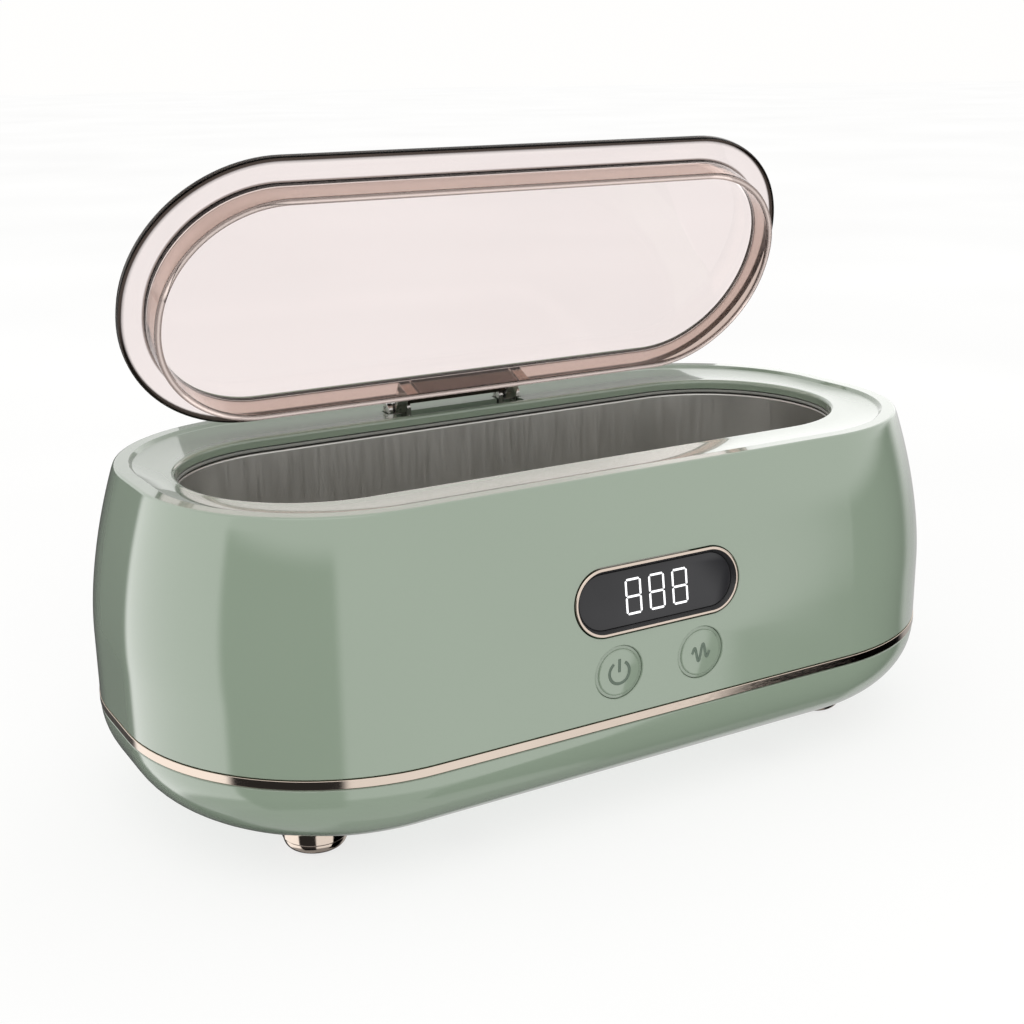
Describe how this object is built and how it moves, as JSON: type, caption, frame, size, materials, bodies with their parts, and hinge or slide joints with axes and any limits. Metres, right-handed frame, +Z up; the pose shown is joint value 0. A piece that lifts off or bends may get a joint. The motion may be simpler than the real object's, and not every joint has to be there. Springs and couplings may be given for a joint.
{
  "type": "ultrasonic cleaner",
  "caption": "Oval tabletop ultrasonic cleaner with a steel tank, a hinged clear lid, a display window, push buttons and round feet.",
  "frame": {"origin": "on the surface that the feet stand on, under the middle of the body", "axes": "+X along the long side, to the right seen from the front; the front with the display faces -Y; +Z up"},
  "size_m": [0.2, 0.108, 0.1384],
  "materials": {
    "housing_green": "sage green gloss moulding",
    "rose_gold": "rose gold plating",
    "stainless": "drawn stainless sheet",
    "clear_lid": "clear rose-tinted plastic",
    "smoked_lens": "smoked gloss",
    "black_plastic": "black moulding",
    "dark_hinge": "dark bronze",
    "steel": "plain steel",
    "rubber": "matte rubber",
    "silicone": "cured silicone",
    "board_green": "glass-fibre circuit board",
    "ceramic": "fired piezo ceramic",
    "copper": "enamelled copper winding",
    "ferrite": "ferrite core and tape",
    "aluminium": "plain aluminium",
    "display_white": "white LED module",
    "red_wire": "PVC insulation",
    "black_wire": "PVC insulation",
    "blue_wire": "PVC insulation",
    "brown_wire": "PVC insulation"
  },
  "bodies": {
    "root": {"upper_housing": "housing_green", "base_shell": "housing_green", "trim_ring": "rose_gold", "tank": "stainless", "tank_gasket": "silicone", "display_bezel": "rose_gold", "display_lens": "smoked_lens", "digit_display": "display_white", "control_board": "board_green", "control_board_screw_left": "steel", "control_board_screw_right": "steel", "power_switch": "steel", "mode_switch": "steel", "piezo_bond": "silicone", "piezo_disc": "ceramic", "driver_board": "board_green", "driver_board_screw_1": "steel", "driver_board_screw_2": "steel", "driver_transformer": "ferrite", "driver_capacitor": "aluminium", "driver_inductor": "copper", "driver_heatsink": "aluminium", "mains_inlet": "black_plastic", "inlet_pin_left": "steel", "inlet_pin_right": "steel", "piezo_lead_red": "red_wire", "piezo_lead_black": "black_wire", "mains_lead_live": "brown_wire", "mains_lead_neutral": "blue_wire", "display_harness": "black_wire", "hinge_bracket": "steel", "hinge_pin_left": "steel", "hinge_pin_right": "steel", "foot_front_left": "rose_gold", "foot_pad_front_left": "rubber", "housing_screw_front_left": "steel", "foot_front_right": "rose_gold", "foot_pad_front_right": "rubber", "housing_screw_front_right": "steel", "foot_rear_left": "rose_gold", "foot_pad_rear_left": "rubber", "housing_screw_rear_left": "steel", "foot_rear_right": "rose_gold", "foot_pad_rear_right": "rubber", "housing_screw_rear_right": "steel"},
    "lid": {"lid": "clear_lid", "lid_hinge_bar": "dark_hinge", "lid_knuckle_left": "steel", "lid_knuckle_right": "steel"},
    "power_button": {"power_button": "housing_green", "power_switch_plunger": "black_plastic"},
    "mode_button": {"mode_button": "housing_green", "mode_switch_plunger": "black_plastic"}
  },
  "joints": [
    {"name": "lid_hinge", "type": "hinge", "parent": "root", "child": "lid", "pos_m": [0, 0.0355, 0.07505], "axis": [-1, 0, 0], "range_deg": [-65.7, 35]},
    {"name": "power_press", "type": "slide", "parent": "root", "child": "power_button", "axis": [0, 1, 0], "range_m": [0, 0.0006], "stiffness_N_per_m": 1200, "springref_m": -0.0006},
    {"name": "mode_press", "type": "slide", "parent": "root", "child": "mode_button", "axis": [0, 1, 0], "range_m": [0, 0.0006], "stiffness_N_per_m": 1200, "springref_m": -0.0006}
  ]
}
